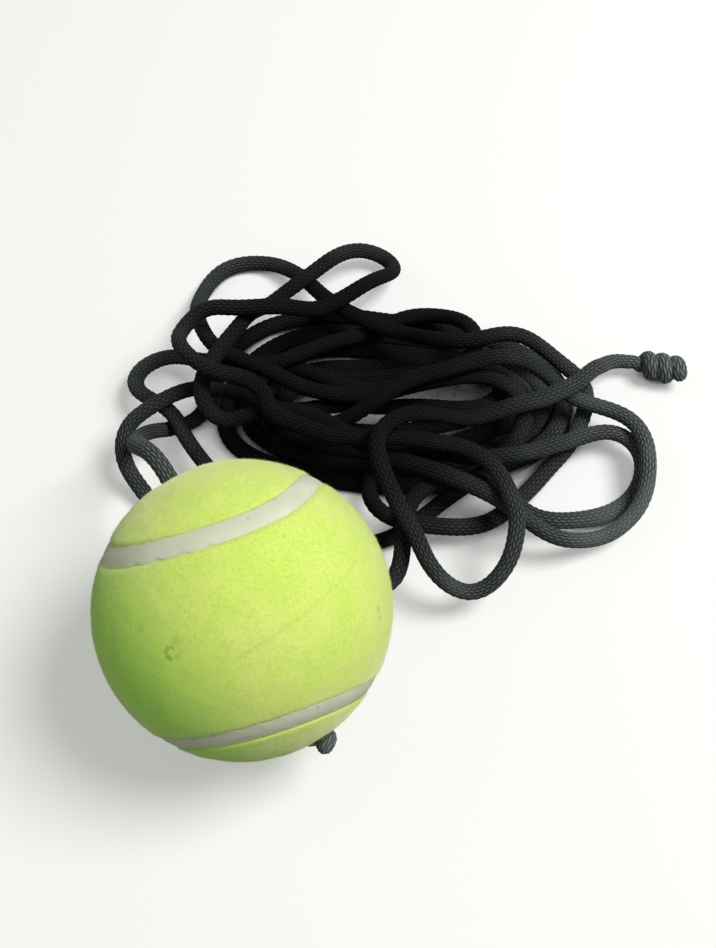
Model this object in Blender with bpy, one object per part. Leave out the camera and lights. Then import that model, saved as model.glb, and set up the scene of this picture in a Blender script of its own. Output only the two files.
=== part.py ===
"""Practice ball on a cord.

A felt-covered ball of two rubber half shells is drilled through its middle and threaded on a braided
cord. A knot stops the ball at the near end of the cord. The rest of the cord leaves the ball on its far
side, falls to the floor, lies there in a loose heap and ends in a second, longer knot.

Lengths are in metres and +Z is up. The ball rests on the floor at the origin, and the floor is z = 0.
"""

import math

import bmesh
import bpy
import numpy as np
from mathutils import Matrix, Vector

# Ball: size over the felt, the layers under it, and the flat it is pressed to where it lies.
BALL_RADIUS = 0.0330
FELT_THICKNESS = 0.0033
CORE_THICKNESS = 0.0038
SEAM_WIDTH = 0.0046
SEAM_DROP = 0.0005
REST_FLAT = 0.0004

# Glue lines and other still joints, and the play of the cord in the bore.
FIT_GAP = 0.0003
BORE_PLAY = 0.0003

# Seam curve: how far the lobes swing out and how high they rise, as shares of the ball's radius. Then how
# the ball lies, in degrees.
LOBE_RATIO = 0.38
RISE_RATIO = 0.78
BALL_TURN_X = -172.0
BALL_TURN_Y = -38.0
BALL_TURN_Z = 55.0

# Bore: the side the cord leaves on, as an angle in plan and an angle above the floor, in degrees, then how
# far inside the ball the cord that runs through the bore gives over to the lead.
EXIT_HEADING = 123.0
EXIT_RISE = 23.0
BORE_START = 0.0090

# Cord, how much it is squeezed in its knots and at a knot's neck, and where its end knot lies.
CORD_DIAMETER = 0.0040
KNOT_SQUEEZE = 0.95
STOP_SQUEEZE = 0.85
NECK_SQUEEZE = 0.62
STOP_TURNS = 1.05
END_TURNS = 2.4
END_PLACE = (100, 82)
END_HEADING = -8.0

# Laying of the heap: air between crossing strands, half length and flat top of a hump, smoothing, and the
# length over which the cord comes down off the heap to its end knot.
LAY_GAP = 0.0007
HUMP_REACH = 0.028
HUMP_FLAT = 0.006
HUMP_SOFT = 0.0035
END_FALL = 0.018
LAY_STEP = 0.002
TUBE_STEP = 0.004

# How finely the round pieces are faceted.
PANEL_ROWS = 40
PANEL_COLUMNS = 11
CORE_SIDES = 32
CORE_STEPS = 10
KNOT_SAMPLES = 16

# Where the lead ends and the tail begins, as lengths along the cord from its start in the bore.
LEAD_LENGTH = 0.084
TAIL_LENGTH = 0.062

# The lead, from the bore out over the ball and down to the floor, and the heap in the order it was laid.
# Both are in millimetres on a ball of 33 mm radius, and follow the ball's size.
ROUTE_UNIT = BALL_RADIUS / 33
LEAD_ROUTE = [
    (-22, 32.5, 46), (-26, 37, 39), (-28.5, 43.5, 29), (-30, 50.5, 19), (-28.5, 57.5, 10),
]
HEAP_ROUTE = [
    (-23, 62), (-17, 66), (-15, 74), (-14, 82), (-9, 90), (-1, 96), (9, 99), (20, 100), (31, 98), (44, 96),
    (57, 93), (70, 88), (79, 81), (82, 72), (80, 63), (71, 54), (58, 49), (46, 46), (34, 45), (22, 46),
    (12, 48), (3, 51), (-6, 55), (-11, 61), (-11, 69), (-9, 77), (-4, 85), (4, 91), (13, 94), (23, 94),
    (34, 92), (45, 91), (56, 88), (67, 84), (75, 77), (77, 70), (72, 63), (65, 57), (56, 54), (46, 51),
    (34, 50), (22, 51), (12, 53), (3, 57), (-4, 62), (-6, 69), (-4, 76), (1, 82), (8, 87), (17, 89),
    (26, 88), (34, 87), (45, 86), (56, 83), (65, 79), (71, 74), (71, 68), (66, 64), (58, 60), (46, 56),
    (34, 55), (22, 56), (12, 58), (4, 62), (0, 67), (1, 74), (6, 79), (14, 82), (24, 82), (34, 82),
    (45, 81), (53, 79), (60, 78), (64, 75), (65, 71), (63, 67), (57, 64), (49, 62), (41, 61), (32, 60),
    (24, 60), (16, 61), (8, 63), (4, 69), (7, 75), (15, 78), (25, 77), (35, 76), (46, 76), (54, 77),
    (61, 77), (65, 71), (61, 65), (53, 63), (42, 65), (32, 66), (22, 66), (14, 64), (7, 63), (0, 65),
    (-3, 71), (0, 77), (7, 78), (14, 75), (21, 72), (29, 71), (37, 71), (45, 71), (52, 73), (56, 78),
    (57, 83), (55, 88), (51, 93), (46, 96), (40, 96), (35, 94), (30, 91), (25, 88), (19, 84), (12, 80),
    (5, 76), (-3, 75), (-11, 77), (-18, 80), (-24, 83), (-30, 83), (-35, 80), (-36, 74), (-33, 69),
    (-28, 66), (-23, 62), (-21, 57), (-17, 51), (-11, 45), (-3, 39), (6, 34), (15, 30), (24, 28), (32, 29),
    (40, 34), (48, 40), (57, 46), (65, 52), (69, 59), (67, 66), (60, 70), (51, 69), (42, 67), (34, 66),
    (26, 65), (17, 66), (8, 68), (0, 72), (-7, 75), (-13, 78), (-17, 85), (-20, 95), (-20, 105), (-17, 113),
    (-12, 117), (-6, 118), (0, 117), (5, 114), (11, 108), (16, 100), (21, 94), (27, 91), (32, 88), (38, 86),
    (43, 81), (48, 79), (53, 78), (59, 80), (66, 82), (73, 82), (80, 80), (85, 76), (87, 71), (86, 66),
    (84, 61), (81, 56), (76, 51), (72, 46), (67, 41), (63, 37), (58, 33), (52, 31), (44, 31), (36, 32),
    (30, 35), (27, 41), (29, 48), (35, 52), (44, 52), (53, 48), (62, 48), (71, 50), (77, 53), (82, 56),
    (87, 58), (92, 59), (97, 57), (100, 53), (100, 48), (98, 43), (93, 38), (85, 35), (77, 33), (70, 33),
    (64, 37), (59, 41), (52, 44), (46, 42), (40, 39), (37, 33), (36, 27), (36, 21), (34, 15), (28, 15),
    (20, 15), (8, 17), (-4, 20), (-16, 25), (-25, 34), (-30, 42), (-34, 46), (-36, 50), (-36, 54),
    (-34, 58), (-30, 61), (-26, 64), (-21, 67), (-14, 69), (-5, 66), (4, 61), (13, 57), (22, 57), (31, 61),
    (39, 66), (47, 68), (55, 71), (62, 73), (69, 73), (76, 71), (80, 68), (85, 66), (91, 64), (97, 61),
    (100, 55), (100, 48), (99, 41), (96, 35), (90, 30), (84, 28), (76, 26), (70, 28), (65, 32), (60, 36),
    (55, 38), (48, 41), (40, 44), (32, 47), (24, 51), (15, 57), (6, 59), (-2, 58), (-9, 56), (-14, 59),
    (-16, 65), (-13, 71), (-8, 79), (-5, 84), (-1, 96), (5, 101), (11, 106), (16, 111), (22, 117),
    (28, 120), (34, 118), (36, 112), (33, 106), (27, 100), (21, 95), (14, 91), (8, 88), (3, 86), (-3, 85),
    (-9, 85), (-14, 86), (-19, 84), (-22, 79), (-21, 74), (-17, 69), (-12, 66), (-8, 65), (-3, 65), (1, 62),
    (2, 58), (4, 54), (10, 53), (18, 49), (27, 49), (40, 50), (50, 50), (57, 46), (61, 39), (63, 33),
    (64, 28), (63, 23), (62, 19), (58, 14), (51, 12), (45, 14), (41, 19), (39, 25), (36, 30), (33, 35),
    (30, 40), (29, 46), (32, 51), (38, 54), (47, 55), (57, 57), (66, 60), (72, 61), (78, 65), (82, 68),
    (86, 72), (90, 76), (92, 79), (94, 81),
]

FELT = (0.72, 0.86, 0.18, 1.0)
SEAM = (0.70, 0.70, 0.66, 1.0)
CORE = (0.16, 0.16, 0.15, 1.0)
CORD = (0.030, 0.032, 0.033, 1.0)

CENTRE = Vector((0, 0, BALL_RADIUS - REST_FLAT))
CORE_RADIUS = BALL_RADIUS - FELT_THICKNESS - FIT_GAP
CORE_INSIDE = CORE_RADIUS - CORE_THICKNESS
CORD_RADIUS = CORD_DIAMETER / 2
BORE_RADIUS = CORD_RADIUS + BORE_PLAY
EXIT_AXIS = Vector((
    math.cos(math.radians(EXIT_HEADING)) * math.cos(math.radians(EXIT_RISE)),
    math.sin(math.radians(EXIT_HEADING)) * math.cos(math.radians(EXIT_RISE)),
    math.sin(math.radians(EXIT_RISE)),
))
END_AXIS = Vector((math.cos(math.radians(END_HEADING)), math.sin(math.radians(END_HEADING)), 0))
BALL_FRAME = (
    Matrix.Rotation(math.radians(BALL_TURN_Z), 4, "Z")
    @ Matrix.Rotation(math.radians(BALL_TURN_Y), 4, "Y")
    @ Matrix.Rotation(math.radians(BALL_TURN_X), 4, "X")
)


def clear_scene():
    for obj in list(bpy.data.objects):
        bpy.data.objects.remove(obj, do_unlink=True)


def material(name, colour, roughness):
    made = bpy.data.materials.new(name)
    made.use_nodes = True
    shader = made.node_tree.nodes["Principled BSDF"]
    shader.inputs["Base Color"].default_value = colour
    shader.inputs["Roughness"].default_value = roughness
    made.diffuse_color = colour
    return made


def add_object(name, data, surface=None):
    obj = bpy.data.objects.new(name, data)
    bpy.context.scene.collection.objects.link(obj)
    if surface is not None:
        data.materials.append(surface)
    return obj


def object_from_bmesh(name, bm, surface=None):
    bmesh.ops.recalc_face_normals(bm, faces=bm.faces[:])
    mesh = bpy.data.meshes.new(name)
    bm.to_mesh(mesh)
    bm.free()
    return add_object(name, mesh, surface)


def baked(obj):
    """Replace an object's data by its finished mesh, with its modifiers or its bevel worked in."""
    name = obj.name
    bpy.context.view_layer.update()
    shaped = obj.evaluated_get(bpy.context.evaluated_depsgraph_get())
    mesh = bpy.data.meshes.new_from_object(shaped)
    surfaces = [slot for slot in obj.data.materials if slot]
    bpy.data.objects.remove(obj, do_unlink=True)
    mesh.name = name
    if not mesh.materials:
        for surface in surfaces:
            mesh.materials.append(surface)
    return add_object(name, mesh)


def along(axis, distance):
    """A point on the bore's axis, measured from the middle of the ball towards the exit."""
    return CENTRE + axis * distance


def cut_round(obj, axis, start, end, radius, sides=24):
    """Cut a round hole about an axis through the middle of the ball."""
    bm = bmesh.new()
    bmesh.ops.create_cone(
        bm, cap_ends=True, segments=sides, radius1=radius, radius2=radius, depth=end - start
    )
    turn = axis.to_track_quat("Z", "Y").to_matrix().to_4x4()
    bmesh.ops.transform(
        bm, matrix=Matrix.Translation(along(axis, (start + end) / 2)) @ turn, verts=bm.verts[:]
    )
    cutter = object_from_bmesh("cutter", bm)
    cut = obj.modifiers.new("hole", "BOOLEAN")
    cut.operation = "DIFFERENCE"
    cut.solver = "EXACT"
    cut.object = cutter
    done = baked(obj)
    bpy.data.objects.remove(cutter, do_unlink=True)
    return done


def beside_seam(t, angle):
    """Direction from the middle of the ball to a point beside the seam's centre line."""
    point = Vector((
        math.cos(t) + LOBE_RATIO * math.cos(3 * t),
        math.sin(t) - LOBE_RATIO * math.sin(3 * t),
        RISE_RATIO * math.sin(2 * t),
    ))
    run = Vector((
        -math.sin(t) - 3 * LOBE_RATIO * math.sin(3 * t),
        math.cos(t) - 3 * LOBE_RATIO * math.cos(3 * t),
        2 * RISE_RATIO * math.cos(2 * t),
    ))
    out = point.normalized()
    across = out.cross(run).normalized()
    return out * math.cos(angle) + across * math.sin(angle)


def felt_panel(name, flipped, surface):
    """One dog-bone panel: a sheet laid across from seam to seam, then thickened inwards."""
    edge = (SEAM_WIDTH / 2 + FIT_GAP) / BALL_RADIUS
    bm = bmesh.new()
    rows = []
    for i in range(PANEL_ROWS + 1):
        t = math.radians(-45 + 180 * i / PANEL_ROWS)
        left = beside_seam(t, edge)
        right = beside_seam(math.radians(270) - t, edge)
        if i in (0, PANEL_ROWS):
            rows.append([bm.verts.new(left * BALL_RADIUS)])
            continue
        steps = [j / PANEL_COLUMNS for j in range(PANEL_COLUMNS + 1)]
        rows.append([bm.verts.new(left.slerp(right, f) * BALL_RADIUS) for f in steps])
    for low, high in zip(rows, rows[1:]):
        for j in range(PANEL_COLUMNS):
            corners = []
            for row, order in ((low, (j, j + 1)), (high, (j + 1, j))):
                corners += [row[k] for k in order] if len(row) > 1 else [row[0]]
            bm.faces.new(corners)
    lifted = bmesh.ops.extrude_face_region(bm, geom=bm.faces[:], use_keep_orig=True)
    for v in lifted["geom"]:
        if isinstance(v, bmesh.types.BMVert):
            v.co *= (BALL_RADIUS - FELT_THICKNESS) / BALL_RADIUS
    flip = Matrix.Rotation(math.pi if flipped else 0.0, 4, "X")
    bmesh.ops.transform(bm, matrix=Matrix.Translation(CENTRE) @ BALL_FRAME @ flip, verts=bm.verts[:])
    return object_from_bmesh(name, bm, surface)


def press_flat(obj):
    """Cut the felt off level with the floor, where the ball's weight presses it flat."""
    bm = bmesh.new()
    bm.from_mesh(obj.data)
    bmesh.ops.bisect_plane(
        bm, geom=bm.verts[:] + bm.edges[:] + bm.faces[:], dist=1e-7,
        plane_co=(0, 0, 0), plane_no=(0, 0, 1), clear_inner=True,
    )
    rim = [e for e in bm.edges if e.is_boundary]
    bmesh.ops.holes_fill(bm, edges=rim, sides=0)
    bmesh.ops.recalc_face_normals(bm, faces=bm.faces[:])
    bm.to_mesh(obj.data)
    bm.free()


def seam_strip(name, surface):
    """The rubber seam: a low crowned strip carried once round the seam curve."""
    half = SEAM_WIDTH / 2 / BALL_RADIUS
    low = CORE_RADIUS + FIT_GAP
    high = BALL_RADIUS - SEAM_DROP
    profile = [(-half, low), (half, low), (half, high - SEAM_DROP), (0.0, high), (-half, high - SEAM_DROP)]
    bm = bmesh.new()
    rings = []
    for i in range(2 * PANEL_ROWS):
        t = math.radians(-45 + 180 * i / PANEL_ROWS)
        rings.append([bm.verts.new(beside_seam(t, angle) * radius) for angle, radius in profile])
    for here, there in zip(rings, rings[1:] + rings[:1]):
        for j in range(len(profile)):
            k = (j + 1) % len(profile)
            bm.faces.new((here[j], here[k], there[k], there[j]))
    bmesh.ops.transform(bm, matrix=Matrix.Translation(CENTRE) @ BALL_FRAME, verts=bm.verts[:])
    return object_from_bmesh(name, bm, surface)


def core_half(name, axis, surface):
    """Half of the rubber core: a wall turned about the bore, open at the bore and at the parting line."""
    bm = bmesh.new()
    wall = []
    for radius, order in ((CORE_RADIUS, 1), (CORE_INSIDE, -1)):
        first = math.asin(BORE_RADIUS / radius)
        last = math.acos(FIT_GAP / 2 / radius)
        angles = [first + (last - first) * k / CORE_STEPS for k in range(CORE_STEPS + 1)]
        wall += [(radius * math.sin(a), radius * math.cos(a)) for a in angles[::order]]
    verts = [bm.verts.new((x, 0, z)) for x, z in wall]
    edges = [bm.edges.new((a, b)) for a, b in zip(verts, verts[1:] + verts[:1])]
    bmesh.ops.spin(
        bm, geom=verts + edges, cent=(0, 0, 0), axis=(0, 0, 1),
        angle=2 * math.pi, steps=CORE_SIDES, use_duplicate=False,
    )
    bmesh.ops.remove_doubles(bm, verts=bm.verts[:], dist=1e-6)
    turn = axis.to_track_quat("Z", "Y").to_matrix().to_4x4()
    bmesh.ops.transform(bm, matrix=Matrix.Translation(CENTRE) @ turn, verts=bm.verts[:])
    return object_from_bmesh(name, bm, surface)


def tube(name, points, radii, surface, sides=6):
    """One closed tube through a list of points, with a radius at each."""
    curve = bpy.data.curves.new(name, "CURVE")
    curve.dimensions = "3D"
    curve.bevel_depth = 1.0
    curve.bevel_resolution = (sides - 4) // 2
    curve.use_fill_caps = True
    spline = curve.splines.new("POLY")
    spline.points.add(len(points) - 1)
    for slot, point, radius in zip(spline.points, points, radii):
        slot.co = (*point, 1.0)
        slot.radius = radius
    return baked(add_object(name, curve, surface))


def smooth_curve(points, per_span=12):
    """A cubic B-spline drawn by its control points, so whole millimetres give a flowing line."""
    p = np.array(points, float)
    p = np.vstack([2 * p[0] - p[1], p, 2 * p[-1] - p[-2]])
    drawn = []
    for i in range(len(p) - 3):
        for k in range(per_span):
            u = k / per_span
            weights = np.array([
                (1 - u) ** 3,
                3 * u ** 3 - 6 * u ** 2 + 4,
                -3 * u ** 3 + 3 * u ** 2 + 3 * u + 1,
                u ** 3,
            ]) / 6
            drawn.append(weights @ p[i:i + 4])
    drawn.append((p[-3] + 4 * p[-2] + p[-1]) / 6)
    return np.array(drawn)


def even_steps(points, step):
    """The same line at even steps, with the length along it."""
    run = np.concatenate([[0], np.cumsum(np.linalg.norm(np.diff(points, axis=0), axis=1))])
    count = max(2, int(round(run[-1] / step)) + 1)
    lengths = np.linspace(0, run[-1], count)
    return np.stack([np.interp(lengths, run, points[:, k]) for k in range(3)], axis=1), lengths


def laid_heights(points, lengths):
    """Heights of a cord laid down in order: each strand rests on those laid before it, in long low humps."""
    lowest = points[:, 2].copy()
    need = CORD_DIAMETER + LAY_GAP
    across = points[:, None, :2] - points[None, :, :2]
    apart = (across ** 2).sum(axis=2)
    ahead = lengths[:, None] - lengths[None, :]
    under = (ahead > 3.5 * CORD_DIAMETER) & (apart < need ** 2) & (lowest[None, :] < 2.25 * CORD_DIAMETER)
    lift = np.where(under, np.sqrt(np.maximum(need ** 2 - apart, 0)), -1.0)
    fall = np.clip((np.abs(ahead) - HUMP_FLAT) / (HUMP_REACH - HUMP_FLAT), 0, 1)
    hump = np.cos(math.pi * fall / 2) ** 2
    soft = np.exp(-0.5 * (ahead / HUMP_SOFT) ** 2)
    soft /= soft.sum(axis=1)[:, None]
    heights = lowest.copy()
    for _ in range(80):
        resting = np.maximum((lift + heights[None, :]).max(axis=1), CORD_RADIUS)
        humped = CORD_RADIUS + ((resting - CORD_RADIUS)[None, :] * hump).max(axis=1)
        raised = soft @ np.maximum(humped, lowest)
        raised = np.where(lowest > 3 * CORD_RADIUS, lowest, raised)
        if np.abs(raised - heights).max() < 1e-6:
            break
        heights = raised
    return heights


def eased(value):
    value = min(max(value, 0.0), 1.0)
    return value * value * (3 - 2 * value)


def cord_path():
    """The middle of the cord from inside the bore to the end knot, at even steps."""
    unit = ROUTE_UNIT
    in_bore = (BORE_START, BORE_START / 2, 0.0, -CORD_DIAMETER)
    route = [tuple(along(EXIT_AXIS, BALL_RADIUS - back)) for back in in_bore]
    route += [tuple(value * unit for value in point) for point in LEAD_ROUTE]
    route += [(x * unit, y * unit, CORD_RADIUS) for x, y in HEAP_ROUTE]
    end = Vector((END_PLACE[0] * unit, END_PLACE[1] * unit, 2.2 * CORD_RADIUS))
    route += [tuple(end - END_AXIS * back) for back in (1.5 * CORD_RADIUS, 0.0)]
    points, lengths = even_steps(smooth_curve(route), LAY_STEP)
    points[:, 2] = laid_heights(points, lengths)
    for point, back in zip(points, lengths[-1] - lengths):
        point[2] = end.z + (point[2] - end.z) * eased(back / END_FALL)
    return points


def knot_path(turns, radius, pitch, coil, lead, stub):
    """A barrel knot along +X: the squeezed neck on the axis, then the turns about it, then the cut stub."""
    points = []
    radii = []
    for v in (0.0, 0.5):
        points.append(Vector((-lead * (1 - v) - 0.45 * radius, 0, 0)))
        radii.append(radius * (1 - (1 - NECK_SQUEEZE) * eased(2 * v)))
    for k in range(int(round(turns * KNOT_SAMPLES)) + 1):
        u = k / KNOT_SAMPLES
        out = coil * eased(u / 0.34)
        x = -0.45 * radius * (1 - eased(u / 0.2)) + pitch * u
        points.append(Vector((x, out * math.cos(2 * math.pi * u), out * math.sin(2 * math.pi * u))))
        radii.append(radius * (NECK_SQUEEZE + (1 - NECK_SQUEEZE) * eased(u / 0.4)))
    for v in (0.33, 0.66, 1.0):
        angle = 2 * math.pi * turns + 0.9 * v
        out = coil * (1 - 0.25 * v)
        x = pitch * turns + (0.2 * pitch + stub) * v
        points.append(Vector((x, out * math.cos(angle), out * math.sin(angle))))
        radii.append(radius * (1 - 0.06 * v))
    return points, radii


def placed(points, origin, axis, roll):
    """Carry a knot drawn along +X to where it sits, turned about its own length."""
    turn = axis.to_track_quat("X", "Z").to_matrix() @ Matrix.Rotation(math.radians(roll), 3, "X")
    return [origin + turn @ p for p in points]


def thinned(points, first, last):
    """The stretch of the cord between two lengths, at the tube's own step."""
    part = points[first:last + 1]
    return even_steps(part, TUBE_STEP)[0]


def least_gap(points, radius):
    """Least air between a tube's far-apart strands, measured on its points."""
    line, lengths = even_steps(np.array(points), LAY_STEP)
    apart = np.linalg.norm(line[:, None, :] - line[None, :, :], axis=2)
    far = np.abs(lengths[:, None] - lengths[None, :]) > 3.5 * CORD_DIAMETER
    return float(apart[far].min() - 2 * radius)


def build_ball():
    felt = material("felt", FELT, 1.0)
    knot_axis = -EXIT_AXIS
    stop_hole = STOP_SQUEEZE * CORD_RADIUS * 2.12 + 2 * BORE_PLAY
    drilled = felt_panel("felt_panel_drilled", False, felt)
    drilled = cut_round(drilled, EXIT_AXIS, CORE_INSIDE, BALL_RADIUS * 1.2, BORE_RADIUS)
    drilled = cut_round(drilled, knot_axis, CORE_INSIDE, BALL_RADIUS * 1.2, stop_hole)
    press_flat(drilled)
    felt_panel("felt_panel_plain", True, material("felt_plain", FELT, 1.0))
    seam_strip("seam_strip", material("seam", SEAM, 0.6))
    core_half("core_half_exit", EXIT_AXIS, material("core_exit", CORE, 0.7))
    core_half("core_half_knot", knot_axis, material("core_knot", CORE, 0.7))


def build_cord():
    path = cord_path()
    lead_end = int(round(LEAD_LENGTH / LAY_STEP))
    tail_start = len(path) - 1 - int(round(TAIL_LENGTH / LAY_STEP))
    gap = FIT_GAP / 2
    pieces = (
        ("cord_lead", 0, lead_end),
        ("cord_loops", lead_end, tail_start),
        ("cord_tail", tail_start, len(path) - 1),
    )
    for name, first, last in pieces:
        line = thinned(path, first, last)
        for end, inner in ((0, 1), (-1, -2)):
            step = line[inner] - line[end]
            line[end] = line[end] + step / np.linalg.norm(step) * gap
        tube(name, line, [CORD_RADIUS] * len(line), material(name, CORD, 0.9))
        if name == "cord_loops":
            print(f"cord_loops least gap to itself {least_gap(line, CORD_RADIUS) * 1000:.2f} mm")
    run = np.linalg.norm(np.diff(path, axis=0), axis=1).sum()
    print(f"free cord length {run * 1000:.0f} mm")

    radius = STOP_SQUEEZE * CORD_RADIUS
    turns, radii = knot_path(STOP_TURNS, radius, 2.3 * radius, 1.12 * radius, 0.6 * radius, 0.2 * radius)
    seat = along(EXIT_AXIS, -(CORE_RADIUS + FIT_GAP + 0.4 * radius))
    stopper = placed(turns, seat, -EXIT_AXIS, 60)
    tube("stopper_knot", stopper, radii, material("stopper_knot", CORD, 0.9), sides=8)
    print(f"stopper_knot reaches {max((p - CENTRE).length for p in stopper) * 1000:.1f} mm from the middle")

    start = along(EXIT_AXIS, BALL_RADIUS - BORE_START - FIT_GAP)
    end = stopper[0] + EXIT_AXIS * FIT_GAP
    tube("cord_through", [start, (start + end) / 2, end], [CORD_RADIUS] * 3,
         material("cord_through", CORD, 0.9))

    radius = KNOT_SQUEEZE * CORD_RADIUS
    turns, radii = knot_path(END_TURNS, radius, 2.16 * radius, 1.2 * radius, 0.7 * radius, 0.35 * radius)
    origin = Vector(path[-1]) + END_AXIS * (FIT_GAP - turns[0].x)
    tube("end_knot", placed(turns, origin, END_AXIS, 200), radii, material("end_knot", CORD, 0.9), sides=8)


clear_scene()
build_ball()
build_cord()
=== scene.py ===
# %% [markdown]
# # A practice ball on its cord
# The real object is a felt-covered ball with a hole drilled through its middle, threaded on nearly three
# metres of soft black braid. A knot stops the ball near one end of the cord, and a longer knot finishes
# the other end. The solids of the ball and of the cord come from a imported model. This lesson dresses
# them: a braided cord, knots, napped felt and a rubber seam, all as meshes that ride on the solids.

# %% Load the solids
import math

import bmesh
import bpy
import numpy as np
from mathutils import Matrix, Vector, noise


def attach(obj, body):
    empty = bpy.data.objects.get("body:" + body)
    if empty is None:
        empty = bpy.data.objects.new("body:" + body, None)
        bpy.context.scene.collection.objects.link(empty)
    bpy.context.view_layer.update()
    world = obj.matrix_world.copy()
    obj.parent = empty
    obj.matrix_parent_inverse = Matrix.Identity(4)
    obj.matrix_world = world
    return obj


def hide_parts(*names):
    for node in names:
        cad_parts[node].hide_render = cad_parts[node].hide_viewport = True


MM = 0.001
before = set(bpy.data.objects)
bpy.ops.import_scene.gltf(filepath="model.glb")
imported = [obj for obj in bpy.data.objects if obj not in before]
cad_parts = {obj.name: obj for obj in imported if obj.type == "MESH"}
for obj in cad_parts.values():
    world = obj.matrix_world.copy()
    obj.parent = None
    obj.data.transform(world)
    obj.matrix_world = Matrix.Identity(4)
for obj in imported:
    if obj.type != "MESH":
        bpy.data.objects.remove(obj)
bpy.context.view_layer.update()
scene = bpy.context.scene
scene.view_settings.view_transform = "Standard"
print("solids:", sorted(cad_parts))

# %% [markdown]
# ## Small tools for every finish
# Colours are easiest to compare with a photograph as sRGB hex codes, but shaders add up light, so they
# work in linear values. One function converts them. A second one adds a node, sets it and links it, so
# that each material below reads from top to bottom as a recipe. Two more start an empty material, and turn
# the size of a grain into the scale of a texture.


# %% Colour and node helpers
def hex_colour(code):
    """An sRGB hex code as the linear colour that a shader works in."""
    parts = [int(code[i:i + 2], 16) / 255 for i in (1, 3, 5)]
    linear = [p / 12.92 if p <= 0.04045 else ((p + 0.055) / 1.055) ** 2.4 for p in parts]
    return (*linear, 1.0)


def add_node(tree, kind, inputs=None, **settings):
    """Add a node, set its options, and fill or link its inputs by name or number."""
    made = tree.nodes.new(kind)
    for key, value in settings.items():
        setattr(made, key, value)
    for key, value in (inputs or {}).items():
        if isinstance(value, bpy.types.NodeSocket):
            tree.links.new(value, made.inputs[key])
        else:
            made.inputs[key].default_value = value
    return made


def new_material(name):
    """An empty material and its node tree."""
    made = bpy.data.materials.new(name)
    made.use_nodes = True
    made.node_tree.nodes.clear()
    return made, made.node_tree


def per_mm(size):
    """Texture scale that makes a pattern's grains about this many millimetres wide."""
    return 1.0 / (size * MM)


# %% [markdown]
# ## Camera, floor and light
# The photograph looks down steeply, about 63 degrees below the horizon, from a quarter of a metre away.
# A camera that close has strong perspective, so the place of the camera matters as much as its
# angle. The light comes from the right and from high up. One large soft lamp gives that, with a weak lamp
# across from it and a dim room. The backdrop and the floor are plain and pale, but only to the camera.
# White paper so close would throw a lot of light up under the ball, which the photograph doesn't show, so
# the floor is darker to light that bounces. Deep in the heap, where cords hide the sky from it, the floor is
# drawn dark to the camera as painted shade.

# %% Set the stage
SENSOR = 36.0
PHOTO_HEIGHT = 948
FOCAL_PIXELS = 1100
LOOK_DOWN = 63
LAMP_TARGET = Vector((0.02, 0.03, 0.02))
ROOM_LIGHT = 0.23
PALE = hex_colour("#F7F7F5")
FLOOR_HALF = 4.0
FLOOR_DROP = 0.2 * MM
SKY_REACH = 20 * MM
WHITE_SHARE = 0.35

camera_data = bpy.data.cameras.new("photo_camera")
camera_data.sensor_width = SENSOR
camera_data.lens = SENSOR * FOCAL_PIXELS / PHOTO_HEIGHT
camera_data.clip_start = 10 * MM
camera = bpy.data.objects.new("photo_camera", camera_data)
camera.location = (0.0250, -0.0833, 0.2608)
camera.rotation_euler = (math.radians(90 - LOOK_DOWN), 0, 0)
scene.collection.objects.link(camera)
scene.camera = camera

for name, place, size, power in (
    ("key_lamp", (0.57, 0.12, 0.90), 0.50, 10.6),
    ("fill_lamp", (-0.80, 0.10, 0.70), 0.80, 0.9),
):
    lamp_data = bpy.data.lights.new(name, "AREA")
    lamp_data.shape = "DISK"
    lamp_data.size = size
    lamp_data.energy = power
    lamp = bpy.data.objects.new(name, lamp_data)
    lamp.location = place
    lamp.rotation_euler = (LAMP_TARGET - lamp.location).to_track_quat("-Z", "Y").to_euler()
    scene.collection.objects.link(lamp)

world = bpy.data.worlds.new("pale_room")
world.use_nodes = True
tree = world.node_tree
tree.nodes.clear()
rays = add_node(tree, "ShaderNodeLightPath")
room = add_node(tree, "ShaderNodeBackground", {"Color": hex_colour("#F0FAE4"), "Strength": ROOM_LIGHT})
backdrop = add_node(tree, "ShaderNodeBackground", {"Color": PALE, "Strength": 1.0})
shader = add_node(
    tree, "ShaderNodeMixShader",
    {0: rays.outputs["Is Camera Ray"], 1: room.outputs[0], 2: backdrop.outputs[0]},
)
add_node(tree, "ShaderNodeOutputWorld", {"Surface": shader.outputs[0]})
scene.world = world

bm = bmesh.new()
bmesh.ops.create_grid(bm, x_segments=1, y_segments=1, size=FLOOR_HALF)
bmesh.ops.translate(bm, vec=(0, 0, -FLOOR_DROP), verts=bm.verts[:])
floor_mesh = bpy.data.meshes.new("floor")
bm.to_mesh(floor_mesh)
bm.free()
floor = bpy.data.objects.new("floor", floor_mesh)
scene.collection.objects.link(floor)

paper, tree = new_material("pale_backdrop_paper")
rays = add_node(tree, "ShaderNodeLightPath")
sky = add_node(tree, "ShaderNodeAmbientOcclusion", {"Distance": SKY_REACH})
in_the_open = add_node(
    tree, "ShaderNodeMapRange", {"Value": sky.outputs["AO"], "From Min": 0.20, "From Max": 0.48},
    interpolation_type="SMOOTHSTEP",
)
# Painted shade: where cords hide the sky, the floor is drawn nearly black to the camera, and its white glow
# fades out there too.
camera_paper_painted_shade = add_node(
    tree, "ShaderNodeMix",
    {0: in_the_open.outputs[0], 6: hex_colour("#0E0F0E"), 7: PALE}, data_type="RGBA",
)
paper_tone = add_node(
    tree, "ShaderNodeMix",
    {0: rays.outputs["Is Camera Ray"], 6: hex_colour("#9C9C9A"), 7: camera_paper_painted_shade.outputs[2]}, data_type="RGBA",
)
lit_paper = add_node(tree, "ShaderNodeBsdfDiffuse", {"Color": paper_tone.outputs[2]})
white = add_node(tree, "ShaderNodeEmission", {"Color": hex_colour("#FFFFFF"), "Strength": 1.0})
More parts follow.
